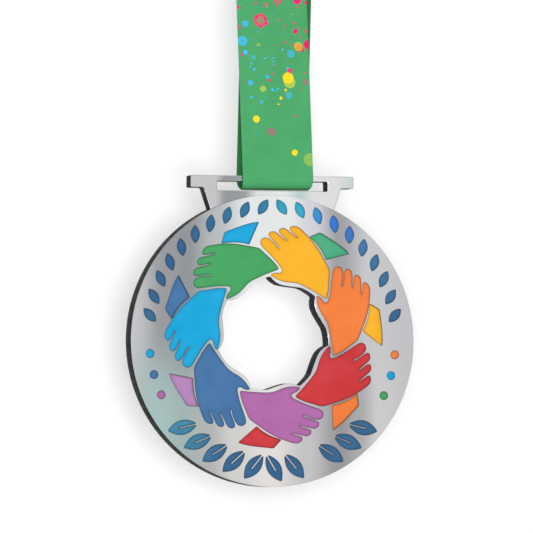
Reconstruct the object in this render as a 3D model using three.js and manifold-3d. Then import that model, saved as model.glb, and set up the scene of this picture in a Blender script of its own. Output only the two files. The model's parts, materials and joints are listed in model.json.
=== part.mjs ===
// A sports finisher medal hanging face-on from its folded ribbon, in millimetres.
//
// A cast disc with a wide T-shaped hanger carries a ring of seven hands, each holding the wrist of
// the next one, round a wavy opening. Hands, sleeves, dots and laurel leaves are sunk cells filled
// with enamel. The ribbon passes through the hanger's slot and round its bar, and its spare length
// is folded into a hank under an elastic band.
//
// Frame: +Z up, the medal's face towards -Y, +X to the viewer's right. The origin is the point that
// the ribbon hangs from, at the top of the hank. Flat outlines are drawn in X and Z, and their
// depth counts from the disc's middle plane towards the face.

import * as THREE from "three";
import { mergeVertices } from "three/addons/utils/BufferGeometryUtils.js";
import Module from "manifold-3d";

const wasm = await Module();
wasm.setup();

// ---- Driving dimensions ----

// Ring of hands. Its outlines are drawn in units, and this is the size of one unit.
const handCount = 7;
const outlineUnit = 1;
const sleeveReachUnits = 34.7;

// Disc. Its radius is the sum of what lies across it.
const discThickness = 7;
const upperRim = 1.4;
const upperLeafBand = 4.3;
const upperBandGap = 2.2;
const lowerBandGap = 1.9;
const lowerLeafBand = 8.1;
const lowerRim = 1.7;

// Sunk cells and their enamel.
const cellDepth = 1;
const enamelGap = 0.25;

// The back is sunk between a raised rim and a raised lip round the opening.
const backRimWidth = 2.5;
const backLipReachUnits = 20.5;
const backRecess = 0.4;

// Laurel leaves.
const upperLeafCount = 20;
const upperLeafWidth = 2.7;
const upperLeafTilt = 38;
const upperBandStart = 171.5;
const upperBandEnd = 9;
const lowerLeafWidth = 4.3;
const lowerLeafTilt = 30;
const lowerLeafPitch = 9.5;
const lowerBandStart = 223;
const lowerGroups = [7, 3];
const lowerGroupGap = 0.9;
const midribWidth = 0.5;
const midribShare = 0.62;

// Enamel dots, as angles below the horizontal.
const dotRadius = 1.25;
const dotAngles = [6, 15.6, 25.3];

// Ribbon.
const ribbonWidth = 22.2;
const ribbonThickness = 0.45;
const strandLength = 58.5;
const strandFootX = { front: 1.9, back: 1.3 };
const strandTopX = { front: -0.3, back: 1.5 };

// Hanger.
const hangerThickness = 5.5;
const barHeight = 1.7;
const barCornerRadius = 0.8;
const barAboveDisc = 5.05;
const slotSideRoom = 6.3;
const slotCornerRadius = 0.5;
const shoulderWidth = 8.3;
const shoulderDrop = 2.85;
const neckInset = 4.1;
const neckSlant = 2.3;
const swingClearance = 0.11;
const slotClearance = 0.3;

// Hank of spare ribbon and its band.
const hankRuns = 10;
const hankPitch = 0.8;
const hankRunLength = 67.6;
const hankSideRoom = 1;
const hankEndRadius = 1.6;
const pieceGap = 0.3;
const bandWidth = 8;
const bandThickness = 0.8;
const bandBelowTop = 30;

// Facets: how finely curves are stepped, and how far a facet may lie from the curve.
const splineSteps = 3;
const facetError = 0.07;
const discSegments = 80;
const arcSegments = 12;

// ---- Worked out from the driving dimensions ----

const handStep = (2 * Math.PI) / handCount;
const sleeveReach = sleeveReachUnits * outlineUnit;
const upperReach = sleeveReach + upperBandGap + upperLeafBand + upperRim;
const lowerReach = sleeveReach + lowerBandGap + lowerLeafBand + lowerRim;
const discRadius = (upperReach + lowerReach) / 2;
const ringCentreZ = (lowerReach - upperReach) / 2;
const upperBandInner = sleeveReach + upperBandGap;
const lowerBandOuter = discRadius - lowerRim;
const face = discThickness / 2;

const barSweep = Math.hypot(hangerThickness / 2, barHeight / 2);
const loopInner = barSweep + swingClearance;
const loopOuter = loopInner + ribbonThickness;
const barZ = discRadius + barAboveDisc;
const slotTop = barZ - barHeight / 2;
const slotBottom = barZ - loopOuter - slotClearance;
const slotHalf = ribbonWidth / 2 + slotSideRoom;
const hangerHalf = slotHalf + shoulderWidth;

const hankThickness = (hankRuns - 1) * hankPitch + ribbonThickness;
const strandSpread = ((hankRuns - 1) * hankPitch) / 2;
const barDrop = hankRunLength + pieceGap + strandLength;
const discDrop = barDrop + barZ;

// ---- Materials ----

function finish(colour, roughness, metalness) {
  return new THREE.MeshStandardMaterial({ color: colour, roughness, metalness });
}

const enamelColours = {
  yellow: 0xfbb82a,
  orange: 0xf48648,
  red: 0xd34543,
  purple: 0xb671ae,
  blue: 0x4d7caf,
  cyan: 0x11ade4,
  green: 0x4ea660,
};
const handColours = Object.keys(enamelColours);
const dotColours = {
  left: ["cyan", "blue", "purple"],
  right: ["orange", "cyan", "green"],
};

const castMetal = finish(0xc8c6c7, 0.3, 1);
const leafEnamel = finish(0x245482, 0.25, 0);
const ribbonCloth = finish(0x51ac6e, 0.85, 0);
const bandElastic = finish(0xe4e2da, 0.7, 0);
const handEnamel = Object.fromEntries(
  handColours.map((name) => [name, finish(enamelColours[name], 0.25, 0)]),
);

// ---- Solids and meshes ----

function solidOf(geometry) {
  const bare = geometry.index ? geometry.toNonIndexed() : geometry.clone();
  bare.deleteAttribute("normal");
  bare.deleteAttribute("uv");
  const merged = mergeVertices(bare, 1e-4);
  return new wasm.Manifold(
    new wasm.Mesh({
      numProp: 3,
      vertProperties: merged.attributes.position.array,
      triVerts: new Uint32Array(merged.index.array),
    }),
  );
}

function geometryOf(solid) {
  const { vertProperties, triVerts } = solid.getMesh();
  const geometry = new THREE.BufferGeometry();
  geometry.setAttribute("position", new THREE.BufferAttribute(vertProperties, 3));
  geometry.setIndex(new THREE.BufferAttribute(triVerts, 1));
  geometry.computeVertexNormals();
  return geometry;
}

// A flat outline as a plate between two depths.
function plate(outline, from, to) {
  const geometry = new THREE.ExtrudeGeometry(new THREE.Shape(outline), {
    depth: to - from,
    bevelEnabled: false,
  });
  return geometry.translate(0, 0, from).rotateX(Math.PI / 2);
}

// An outline in Y and Z as a strip of a given width along X, centred on X = 0.
function strip(shape, width, curveSegments) {
  const geometry = new THREE.ExtrudeGeometry(shape, { depth: width, bevelEnabled: false, curveSegments });
  geometry.translate(0, 0, -width / 2);
  const turn = new THREE.Matrix4().makeBasis(
    new THREE.Vector3(0, 1, 0),
    new THREE.Vector3(0, 0, 1),
    new THREE.Vector3(1, 0, 0),
  );
  return geometry.applyMatrix4(turn);
}

function named(name, geometry, material) {
  const mesh = new THREE.Mesh(geometry, material);
  mesh.name = name;
  return mesh;
}

// ---- Flat outlines, as lists of points ----

function rounded(points) {
  return points.map(([x, z]) => new THREE.Vector2(x, z));
}

// Scales an outline, turns it about the origin and moves it.
function placed(outline, scale, angle, x, z) {
  const centre = new THREE.Vector2();
  const offset = new THREE.Vector2(x, z);
  return outline.map((p) => p.clone().multiplyScalar(scale).rotateAround(centre, angle).add(offset));
}

// Leaves out the points that lie within the facet error of the chord that passes them by.
function thinned(outline) {
  const kept = [outline[0]];
  let passed = [];
  for (const point of [...outline.slice(1), outline[0]]) {
    const chord = point.clone().sub(kept[kept.length - 1]);
    const error = (p) => Math.abs(chord.cross(p.clone().sub(point))) / chord.length();
    if (passed.some((p) => error(p) > facetError)) {
      kept.push(passed[passed.length - 1]);
      passed = [];
    }
    passed.push(point);
  }
  return kept;
}

// Moves every point of a closed outline inwards by a distance, along its corner's bisector.
function inset(outline, distance) {
  const sharpest = 2.5;
  const side = THREE.ShapeUtils.isClockWise(outline) ? -1 : 1;
  const count = outline.length;
  return outline.map((point, i) => {
    const before = point.clone().sub(outline[(i + count - 1) % count]).normalize();
    const after = outline[(i + 1) % count].clone().sub(point).normalize();
    const inwards = new THREE.Vector2(-before.y - after.y, before.x + after.x);
    const stretch = Math.min(2 / inwards.length(), sharpest);
    return inwards.setLength(side * distance * stretch).add(point);
  });
}

function rectangle(left, bottom, right, top, radius) {
  const shape = new THREE.Shape();
  shape.moveTo(left + radius, bottom);
  shape.lineTo(right - radius, bottom);
  shape.absarc(right - radius, bottom + radius, radius, -Math.PI / 2, 0);
  shape.lineTo(right, top - radius);
  shape.absarc(right - radius, top - radius, radius, 0, Math.PI / 2);
  shape.lineTo(left + radius, top);
  shape.absarc(left + radius, top - radius, radius, Math.PI / 2, Math.PI);
  shape.lineTo(left, bottom + radius);
  shape.absarc(left + radius, bottom + radius, radius, Math.PI, 1.5 * Math.PI);
  return shape;
}

// One hand with its forearm, just right of the ring's top: forearm tip, thumb, the notch that the
// next arm's tip lies in, four fingers from the lowest to the highest, back of the hand, wrist.
function handOutline() {
  const shape = new THREE.Shape();
  shape.moveTo(16.75, 11.2);
  shape.splineThru(rounded([[14.3, 12.7], [11, 14.5], [7.8, 15.9], [4, 16.3], [1.6, 17], [-0.6, 18.25]]));
  shape.splineThru(rounded([[0.8, 18.7], [2.2, 18.65], [2.95, 19.1], [3, 19.9], [2.4, 20.9], [0.6, 23.1]]));
  shape.splineThru(rounded([[-1.5, 25.2], [-3.4, 27.1], [-3.8, 28.2], [-3.3, 29.1], [-2.3, 29.5]]));
  shape.lineTo(-1, 29);
  shape.lineTo(0.5, 27.7);
  shape.splineThru(rounded([[1.6, 26.3], [2.1, 26.1], [2.25, 26.6], [1.2, 27.9]]));
  shape.lineTo(-0.5, 29.5);
  shape.splineThru(rounded([[-1.2, 30.3], [-1.1, 30.9], [-0.4, 31.3], [0.7, 31.2], [1.8, 30.4]]));
  shape.lineTo(4.2, 28.6);
  shape.splineThru(rounded([[4.6, 28.45], [4.8, 28.9]]));
  shape.lineTo(2.4, 31);
  shape.splineThru(rounded([[2, 31.5], [2.2, 32], [2.9, 32.4], [3.9, 32.2], [5, 31.4]]));
  shape.lineTo(7.5, 29.55);
  shape.splineThru(rounded([[7.95, 29.4], [8.1, 29.8]]));
  shape.lineTo(5.7, 31.9);
  shape.splineThru(rounded([[5.4, 32.4], [5.8, 32.85], [6.8, 33.05], [7.9, 32.75], [8.9, 32]]));
  shape.splineThru(rounded([[10.7, 30.3], [12.7, 28.1], [14.5, 25.6], [16, 23], [17.3, 20.7]]));
  shape.splineThru(rounded([[17.7, 19.5], [17.6, 17.5], [17.45, 14.5], [17.1, 12.5], [16.75, 11.2]]));
  return thinned(shape.getPoints(splineSteps).slice(0, -1));
}

// The end of the arm that comes out beyond the hand lying over it, left of the ring's top.
function sleeveOutline() {
  const shape = new THREE.Shape();
  shape.moveTo(-16.2, 27.75);
  shape.lineTo(-15.3, 30.7);
  shape.splineThru(rounded([[-14.9, 31.2], [-13, 31.9], [-10, 33], [-7, 33.9], [-4.5, 34.35]]));
  shape.lineTo(-7.5, 27.5);
  shape.splineThru(rounded([[-10, 28], [-13, 28.15], [-16.2, 27.75]]));
  return thinned(shape.getPoints(splineSteps).slice(0, -1));
}

// The opening inside the ring: one wave for each hand, from peak to peak.
function openingOutline() {
  const wave = rounded([[-0.75, 17.8], [-0.3, 17.1], [0.6, 16.3], [1.9, 15.5], [3.8, 15]]);
  wave.push(...rounded([[6.8, 14.6], [8.8, 14.35], [10.4, 13.7], [11.9, 12.8]]));
  const turns = Array.from({ length: handCount }, (_, i) => -i * handStep);
  return turns.flatMap((angle) => placed(wave, outlineUnit, angle, 0, ringCentreZ));
}

// A pointed leaf along +Y with its middle at the origin. A midrib splits it from the foot.
function leafOutline(length, width, ribWidth) {
  const shape = new THREE.Shape();
  shape.moveTo(ribWidth / 2, -length / 2);
  shape.quadraticCurveTo(width, 0, 0, length / 2);
  shape.quadraticCurveTo(-width, 0, -ribWidth / 2, -length / 2);
  if (ribWidth > 0) {
    const ribTop = length * (midribShare - 0.5);
    shape.lineTo(-ribWidth / 2, ribTop);
    shape.lineTo(ribWidth / 2, ribTop);
  }
  const points = shape.getPoints(splineSteps * 3);
  const closed = points[0].distanceTo(points[points.length - 1]) < 1e-6;
  return thinned(closed ? points.slice(0, -1) : points);
}

function dotOutline() {
  return new THREE.Shape().absarc(0, 0, dotRadius, 0, 2 * Math.PI).getPoints(arcSegments).slice(0, -1);
}

// ---- Enamel cells: name, outline and material of each ----

function handCells() {
  const hand = handOutline();
  const sleeve = sleeveOutline();
  return handColours.flatMap((colour, i) => [
    {
      name: "hand_enamel_" + colour,
      outline: placed(hand, outlineUnit, -i * handStep, 0, ringCentreZ),
      material: handEnamel[colour],
    },
    {
      name: "sleeve_enamel_" + colour,
      outline: placed(sleeve, outlineUnit, -(i + 2) * handStep, 0, ringCentreZ),
      material: handEnamel[colour],
    },
  ]);
}

// A leaf at a polar angle, leaning up the disc's side.
function placedLeaf(leaf, angle, tilt, radius, centreZ) {
  const x = radius * Math.cos(angle);
  const z = radius * Math.sin(angle);
  const lean = (x < 0 ? -1 : 1) * tilt;
  return placed(leaf, 1, angle + lean - Math.PI / 2, x, z + centreZ);
}

function upperLeafCells() {
  const tilt = THREE.MathUtils.degToRad(upperLeafTilt);
  const leaf = leafOutline(upperLeafBand / Math.cos(tilt), upperLeafWidth, 0);
  const radius = upperBandInner + upperLeafBand / 2;
  return Array.from({ length: upperLeafCount }, (_, i) => {
    const share = i / (upperLeafCount - 1);
    const degrees = THREE.MathUtils.lerp(upperBandStart, upperBandEnd, share);
    const angle = THREE.MathUtils.degToRad(degrees);
    return {
      name: "upper_leaf_enamel_" + String(i + 1).padStart(2, "0"),
      outline: placedLeaf(leaf, angle, tilt, radius, ringCentreZ),
      material: leafEnamel,
    };
  });
}

function lowerLeafCells() {
  const tilt = THREE.MathUtils.degToRad(lowerLeafTilt);
  const leaf = leafOutline(lowerLeafBand / Math.cos(tilt), lowerLeafWidth, midribWidth);
  const radius = lowerBandOuter - lowerLeafBand / 2;
  const places = lowerGroups.flatMap((count, group) =>
    Array.from({ length: count }, (_, i) => i + group * (lowerGroups[0] + lowerGroupGap)),
  );
  return places.map((place, i) => ({
    name: "lower_leaf_enamel_" + String(i + 1).padStart(2, "0"),
    outline: placedLeaf(
      leaf,
      THREE.MathUtils.degToRad(lowerBandStart + place * lowerLeafPitch),
      tilt,
      radius,
      0,
    ),
    material: leafEnamel,
  }));
}

function dotCells() {
  const radius = lowerBandOuter - lowerLeafBand / 2;
  return Object.entries(dotColours).flatMap(([side, colours]) =>
    colours.map((colour, i) => {
      const below = THREE.MathUtils.degToRad(dotAngles[i]);
      const x = (side === "left" ? -1 : 1) * radius * Math.cos(below);
      return {
        name: "dot_enamel_" + side + "_" + (i + 1),
        outline: placed(dotOutline(), 1, 0, x, -radius * Math.sin(below)),
        material: handEnamel[colour],
      };
    }),
  );
}

// ---- Medal ----

function hangerOutline() {
  const top = barZ + barHeight / 2;
  const underside = barZ - shoulderDrop;
  const neckX = hangerHalf - neckInset;
  const footZ = Math.sqrt(discRadius ** 2 - (neckX - neckSlant) ** 2) - 1;
  const shape = new THREE.Shape();
  shape.moveTo(neckX - neckSlant, footZ);
  shape.lineTo(neckX, underside);
  shape.lineTo(hangerHalf, underside);
  shape.absarc(hangerHalf - barCornerRadius, top - barCornerRadius, barCornerRadius, 0, Math.PI / 2);
  shape.absarc(barCornerRadius - hangerHalf, top - barCornerRadius, barCornerRadius, Math.PI / 2, Math.PI);
  shape.lineTo(-hangerHalf, underside);
  shape.lineTo(-neckX, underside);
  shape.lineTo(neckSlant - neckX, footZ);
  return shape.getPoints(arcSegments / 2);
}

function roundOutline(radius, centreZ) {
  const circle = new THREE.Shape().absarc(0, centreZ, radius, 0, 2 * Math.PI);
  return circle.getPoints(discSegments / 2).slice(0, -1);
}

function backField(past) {
  const from = -face - past;
  const to = backRecess - face;
  const lip = roundOutline(backLipReachUnits * outlineUnit, ringCentreZ);
  const field = solidOf(plate(roundOutline(discRadius - backRimWidth, 0), from, to));
  return field.subtract(solidOf(plate(lip, from - past, to + past)));
}

function casting(cells) {
  const past = 1;
  const slot = rectangle(-slotHalf, slotBottom, slotHalf, slotTop, slotCornerRadius).getPoints(3);
  const half = hangerThickness / 2;
  let body = solidOf(plate(roundOutline(discRadius, 0), -face, face));
  body = body.subtract(backField(past));
  body = body.add(solidOf(plate(hangerOutline(), -half, half)));
  body = body.subtract(solidOf(plate(slot, -face - past, face + past)));
  body = body.subtract(solidOf(plate(openingOutline(), -face - past, face + past)));
  for (const cell of cells) {
    body = body.subtract(solidOf(plate(cell.outline, face - cellDepth, face + past)));
  }
  return named("medal_casting", geometryOf(body), castMetal);
}

function enamelFill(cell) {
  const geometry = plate(inset(cell.outline, enamelGap), face - cellDepth + enamelGap, face);
  return named(cell.name, geometry, cell.material);
}

function medal() {
  const group = new THREE.Group();
  const cells = [...handCells(), ...upperLeafCells(), ...lowerLeafCells(), ...dotCells()];
  group.add(casting(cells), ...cells.map(enamelFill));
  group.position.z = -discDrop;
  return group;
}

// ---- Ribbon ----

// Where the line from a point above touches a circle round the bar, on the +Y side.
function touchAngle(radius, y, z) {
  return Math.atan2(z, y) - Math.acos(radius / Math.hypot(y, z));
}

// The strap's section in Y and Z about the bar's centre: two strands and the fold round the bar.
function strapSection() {
  const outer = strandSpread + ribbonThickness / 2;
  const inner = strandSpread - ribbonThickness / 2;
  const outerTouch = touchAngle(loopOuter, outer, strandLength);
  const innerTouch = touchAngle(loopInner, inner, strandLength);
  const shape = new THREE.Shape();
  shape.moveTo(-outer, strandLength);
  shape.absarc(0, 0, loopOuter, Math.PI - outerTouch, outerTouch + 2 * Math.PI);
  shape.lineTo(outer, strandLength);
  shape.lineTo(inner, strandLength);
  shape.absarc(0, 0, loopInner, innerTouch, Math.PI - innerTouch - 2 * Math.PI, true);
  shape.lineTo(-inner, strandLength);
  return shape;
}

// Moves each strand sideways to its own centre line; the fold passes from one to the other.
function leanStrands(geometry) {
  const positions = geometry.getAttribute("position");
  for (let i = 0; i < positions.count; i += 1) {
    const y = positions.getY(i);
    const height = Math.max(0, positions.getZ(i)) / strandLength;
    const front = THREE.MathUtils.lerp(strandFootX.front, strandTopX.front, height);
    const back = THREE.MathUtils.lerp(strandFootX.back, strandTopX.back, height);
    const share = THREE.MathUtils.clamp(0.5 + y / (2 * loopInner), 0, 1);
    positions.setX(i, positions.getX(i) + THREE.MathUtils.lerp(front, back, share));
  }
  return geometry;
}

function strap() {
  const geometry = leanStrands(strip(strapSection(), ribbonWidth, arcSegments));
  return named("ribbon_strap", geometry.translate(0, 0, -barDrop), ribbonCloth);
}

function hankCentreX() {
  return (strandTopX.front + strandTopX.back) / 2;
}

function hank() {
  const half = hankThickness / 2;
  const section = rectangle(-half, -hankRunLength, half, 0, hankEndRadius);
  const geometry = strip(section, ribbonWidth + 2 * hankSideRoom, arcSegments / 2);
  return named("ribbon_hank", geometry.translate(hankCentreX(), 0, 0), ribbonCloth);
}

function band() {
  const innerX = ribbonWidth / 2 + hankSideRoom + pieceGap;
  const innerY = hankThickness / 2 + pieceGap;
  const outerX = innerX + bandThickness;
  const outerY = innerY + bandThickness;
  const shape = rectangle(-outerX, -outerY, outerX, outerY, bandThickness);
  shape.holes.push(rectangle(-innerX, -innerY, innerX, innerY, pieceGap));
  const geometry = new THREE.ExtrudeGeometry(shape, {
    depth: bandWidth,
    bevelEnabled: false,
    curveSegments: arcSegments / 3,
  });
  geometry.translate(hankCentreX(), 0, -bandBelowTop - bandWidth);
  return named("hank_band", geometry, bandElastic);
}

function ribbon() {
  return new THREE.Group().add(strap(), hank(), band());
}

export default new THREE.Group().add(medal(), ribbon());
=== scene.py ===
"""Sports finisher medal: looks for the cast disc, its enamel, the printed ribbon and the stage.

Flat outlines are drawn in millimetres in X and Z, the disc's about the disc's middle and the ring
of hands about the ring's own middle. Every mesh is built in metres, in the frame of the model.
"""

import json
import math

import bmesh
import bpy
import numpy as np
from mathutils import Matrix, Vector
from mathutils.geometry import delaunay_2d_cdt


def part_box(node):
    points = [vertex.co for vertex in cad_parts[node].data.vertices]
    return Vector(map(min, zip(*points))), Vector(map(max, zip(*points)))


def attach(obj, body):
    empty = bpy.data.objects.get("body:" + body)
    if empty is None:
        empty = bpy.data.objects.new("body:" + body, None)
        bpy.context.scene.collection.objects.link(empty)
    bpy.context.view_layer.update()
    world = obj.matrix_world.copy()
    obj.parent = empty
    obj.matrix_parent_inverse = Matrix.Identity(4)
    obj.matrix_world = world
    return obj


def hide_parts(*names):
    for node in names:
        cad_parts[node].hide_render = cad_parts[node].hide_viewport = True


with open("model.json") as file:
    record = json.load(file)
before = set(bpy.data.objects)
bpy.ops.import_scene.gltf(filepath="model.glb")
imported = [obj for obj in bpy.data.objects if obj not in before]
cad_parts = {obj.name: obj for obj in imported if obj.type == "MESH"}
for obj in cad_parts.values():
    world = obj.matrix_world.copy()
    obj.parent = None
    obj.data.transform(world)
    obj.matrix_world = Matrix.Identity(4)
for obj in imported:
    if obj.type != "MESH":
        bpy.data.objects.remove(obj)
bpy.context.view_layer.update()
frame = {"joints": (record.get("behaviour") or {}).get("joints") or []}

bl_info = {
    "name": "Finisher Medal",
    "version": (1, 0, 0),
    "blender": (4, 5, 0),
    "location": "View3D > Sidebar > Medal",
    "description": "Builds a cast and enamelled finisher medal on its folded ribbon",
    "category": "Object",
}

MM = 0.001

# ---- Places taken from the frame ----

CAST_LOW, CAST_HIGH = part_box("medal_casting")
STRAP_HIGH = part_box("ribbon_strap")[1]
HANK_LOW, HANK_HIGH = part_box("ribbon_hank")
BAND_LOW, BAND_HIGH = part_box("hank_band")
BAR = Vector(frame["joints"][0]["pos_m"])
DISC_RADIUS = (CAST_HIGH.x - CAST_LOW.x) / 2 / MM
DISC_Z = CAST_LOW.z + DISC_RADIUS * MM
FRONT, BACK = CAST_LOW.y / MM, CAST_HIGH.y / MM

# ---- Sizes of the casting, in millimetres ----

HANDS = ("yellow", "orange", "red", "purple", "blue", "cyan", "green")
HAND_STEP = 2 * math.pi / len(HANDS)
RING_RISE = 1.9
UPPER_BAND = (36.9, 41.2)
LOWER_BAND = (34.7, 42.8)
UPPER_LEAVES, UPPER_LEAF_WIDTH, UPPER_TILT = 20, 2.7, 38
UPPER_SPAN = (171.5, 9)
LOWER_LEAF_WIDTH, LOWER_TILT, LOWER_PITCH, LOWER_START = 4.3, 30, 9.5, 223
LOWER_PLACES = (0, 1, 2, 3, 4, 5, 6, 7.9, 8.9, 9.9)
MIDRIB, MIDRIB_SHARE = 0.5, 0.62
DOT_RADIUS = 1.25
DOT_ANGLES = (6, 15.6, 25.3)
DOT_COLOURS = {"left": ("cyan", "blue", "purple"), "right": ("orange", "cyan", "green")}

HANGER_HALF, HANGER_DEPTH, BAR_HEIGHT = 25.7, 2.75, 1.7
SHOULDER_DROP, NECK_INSET, NECK_SLANT = 2.85, 4.1, 2.3
SLOT_HALF, SLOT_DROP = 17.4, 3.74
HANGER_FOOT_OVERLAP = 0.5

BACK_RIM, BACK_LIP_RADIUS, BACK_DEPTH = 2.5, 20.5, 0.4
OUTLINE_STEP = 0.22
CORNER_SOFTENING, WAVE_SOFTENING, SLOT_SOFTENING = 0.16, 0.3, 0.25
HAND_SWELL = 0.12
RIM_STEP = 0.45
# RIM_SHADE_REACH: how far in from a cell's edge the painted shade reaches.
FILL_GAP, FILL_FLOOR, DOME_REACH, RIM_SHADE_REACH = 0.01, 0.04, 0.45, 0.3

# ---- Sizes of the ribbon, in millimetres ----

RIBBON_WIDTH, RIBBON_THICKNESS, WARP_PITCH = 22.2, 0.45, 0.3
LOOP_RADIUS = 3.215
FRONT_X = (1.7, -0.6)
BACK_X = (1.3, 2.9)
HANK_RUNS, HANK_PITCH = 10, 0.8
LAP_LENGTH, LAP_FOOT, LAP_GAP = 15.0, 8.0, 0.03
PRINT_REPEAT = 66.0
FLAT_POINTS, CHEEK_POINTS = 23, 4
HANK_MIDDLE = (HANK_LOW.x + HANK_HIGH.x) / 2 / MM
HANK_OUTER = HANK_HIGH.y / MM - RIBBON_THICKNESS / 2
HANK_TOP = HANK_HIGH.z / MM - RIBBON_THICKNESS / 2 - HANK_PITCH / 2
HANK_BOTTOM = HANK_LOW.z / MM + RIBBON_THICKNESS / 2 + HANK_PITCH / 2
LAP_Z, LAP_DEPTH = HANK_BOTTOM + LAP_FOOT, HANK_OUTER + RIBBON_THICKNESS + LAP_GAP
BAND_THICKNESS, BAND_CORNER, BAND_RIB, BAND_RIB_PITCH = 0.8, 1.6, 0.06, 0.8
BAND_SQUEEZE, BAND_CLEARANCE = 0.3, 0.12
STITCH_PITCH, STITCH_HALF, STITCH_RADIUS, STITCH_SINK, STITCH_RISE = 1.6, 0.6, 0.14, 0.12, 0.2
STITCH_ROWS = (2.4, 3.6, LAP_LENGTH - 2.6, LAP_LENGTH - 1.4)

# Points measured at a time.
BATCH = 1500

# ---- Sizes of the stage, in metres, but the camera's sensor in millimetres ----

SENSOR, CLIPPING = 36.0, (0.05, 20.0)
KEY_DISTANCE, SCREEN_WIDTH = 1.6, 3.0


# ---- Outlines ----


def spline(start, points, step=OUTLINE_STEP):
    """Points along a uniform Catmull-Rom curve from start through points: each stretch is the cubic
    whose tangents at its ends are half the chord between the neighbours on either side."""
    knots = np.array([start, *points], float)
    knots = np.vstack((2 * knots[0] - knots[1], knots, 2 * knots[-1] - knots[-2]))
    run = []
    for a, b, c, d in zip(knots, knots[1:], knots[2:], knots[3:]):
        t = np.linspace(0, 1, max(2, math.ceil(np.hypot(*(c - b)) / step)) + 1)[1:, None]
        bend = (2 * a - 5 * b + 4 * c - d) * t**2 + (3 * b - a - 3 * c + d) * t**3
        run.append(b + 0.5 * ((c - a) * t + bend))
    return np.vstack(run)


def drawn(start, *stretches):
    """A closed outline from start: a stretch of one point is a straight line, and one of several is
    a curve through them."""
    rows = [np.array([start], float)]
    for points in stretches:
        rows.append(spline(rows[-1][-1], points))
    outline = np.vstack(rows)
    return outline[:-1] if np.allclose(outline[0], outline[-1]) else outline


def hand_outline():
    """A hand and its forearm, right of the ring's top: forearm, thumb, notch for the next arm's
    tip, four fingers, back of the hand and wrist."""
    return drawn(
        (16.75, 11.2),
        [(14.3, 12.7), (11, 14.5), (7.8, 15.9), (4, 16.3), (1.6, 17), (-0.6, 18.25)],
        [(0.8, 18.7), (2.2, 18.65), (2.95, 19.1), (3, 19.9), (2.4, 20.9), (0.6, 23.1)],
        [(-1.5, 25.2), (-3.4, 27.1), (-3.8, 28.2), (-3.3, 29.1), (-2.3, 29.5)],
        [(-1, 29)],
        [(0.5, 27.7)],
        [(1.6, 26.3), (2.1, 26.1), (2.25, 26.6), (1.2, 27.9)],
        [(-0.5, 29.5)],
        [(-1.2, 30.3), (-1.1, 30.9), (-0.4, 31.3), (0.7, 31.2), (1.8, 30.4)],
        [(4.2, 28.6)],
        [(4.6, 28.45), (4.8, 28.9)],
        [(2.4, 31)],
        [(2, 31.5), (2.2, 32), (2.9, 32.4), (3.9, 32.2), (5, 31.4)],
        [(7.5, 29.55)],
        [(7.95, 29.4), (8.1, 29.8)],
        [(5.7, 31.9)],
        [(5.4, 32.4), (5.8, 32.85), (6.8, 33.05), (7.9, 32.75), (8.9, 32)],
        [(10.7, 30.3), (12.7, 28.1), (14.5, 25.6), (16, 23), (17.3, 20.7)],
        [(17.7, 19.5), (17.6, 17.5), (17.45, 14.5), (17.1, 12.5), (16.75, 11.2)],
    )


def sleeve_outline():
    """The end of an arm that comes out beyond the hand lying over it, left of the ring's top."""
    return drawn(
        (-16.2, 27.75),
        [(-15.3, 30.7)],
        [(-14.9, 31.2), (-13, 31.9), (-10, 33), (-7, 33.9), (-4.5, 34.35)],
        [(-7.5, 27.5)],
        [(-10, 28), (-13, 28.15), (-16.2, 27.75)],
    )


def opening_outline():
    """The opening inside the ring: one wave for each hand, turned round the ring's middle."""
    wave = [(-0.3, 17.1), (0.6, 16.3), (1.9, 15.5), (3.8, 15), (6.8, 14.6), (8.8, 14.35)]
    wave += [(10.4, 13.7), (11.9, 12.8), (13.45, 11.7)]
    arc = spline((-0.75, 17.8), wave)
    return np.vstack([turned(arc, -i * HAND_STEP) for i in range(len(HANDS))])


def leaf_outline(length, width, rib):
    """A pointed leaf along +Z about the origin, whose half width is width / 2 * (1 - t * t) for t
    from -1 at the foot to 1 at the tip. A rib splits it from the foot."""
    t = np.linspace(-1, 1, max(8, int(length / OUTLINE_STEP)))
    half = width / 2 * (1 - t**2)
    right = np.column_stack((half, t * length / 2))
    if not rib:
        return np.vstack((right, (right * (-1, 1))[-2:0:-1]))
    right = right[half > rib / 2 + 0.02]
    left = (right * (-1, 1))[::-1]
    top = length * (MIDRIB_SHARE - 0.5)
    r, foot = rib / 2, right[0, 1]
    return np.vstack((right, [(0, length / 2)], left, [(-r, foot), (-r, top), (r, top), (r, foot)]))


def circle(radius, centre_z=0.0, step=0.5):
    """A circle's points: radius times the cosine and sine of equal angles."""
    count = max(24, int(2 * math.pi * radius / step))
    angle = np.linspace(0, 2 * math.pi, count, endpoint=False)
    return np.column_stack((radius * np.cos(angle), centre_z + radius * np.sin(angle)))


def hanger_outline():
    """The T-shaped plate: bar, shoulders and slanting neck, with its foot just inside the rim."""
    bar_z = (BAR.z - DISC_Z) / MM
    top, underside = bar_z + BAR_HEIGHT / 2, bar_z - SHOULDER_DROP
    neck = HANGER_HALF - NECK_INSET
    foot = neck - NECK_SLANT
    foot_z = math.sqrt((DISC_RADIUS - HANGER_FOOT_OVERLAP) ** 2 - foot**2)
    right = [(foot, foot_z), (neck, underside), (HANGER_HALF, underside), (HANGER_HALF, top)]
    return np.array(right + [(-x, z) for x, z in right[::-1]], float)


def slot_outline():
    bar_z = (BAR.z - DISC_Z) / MM
    top, bottom = bar_z - BAR_HEIGHT / 2, bar_z - SLOT_DROP
    half = SLOT_HALF
    return np.array([(-half, bottom), (half, bottom), (half, top), (-half, top)])


def turned(outline, angle):
    """An outline turned anticlockwise about the origin."""
    c, s = math.cos(angle), math.sin(angle)
    return outline @ np.array([[c, s], [-s, c]])


def anticlockwise(outline):
    x, z = outline.T
    area = np.sum(x * np.roll(z, -1) - z * np.roll(x, -1))
    return outline if area > 0 else outline[::-1]


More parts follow.
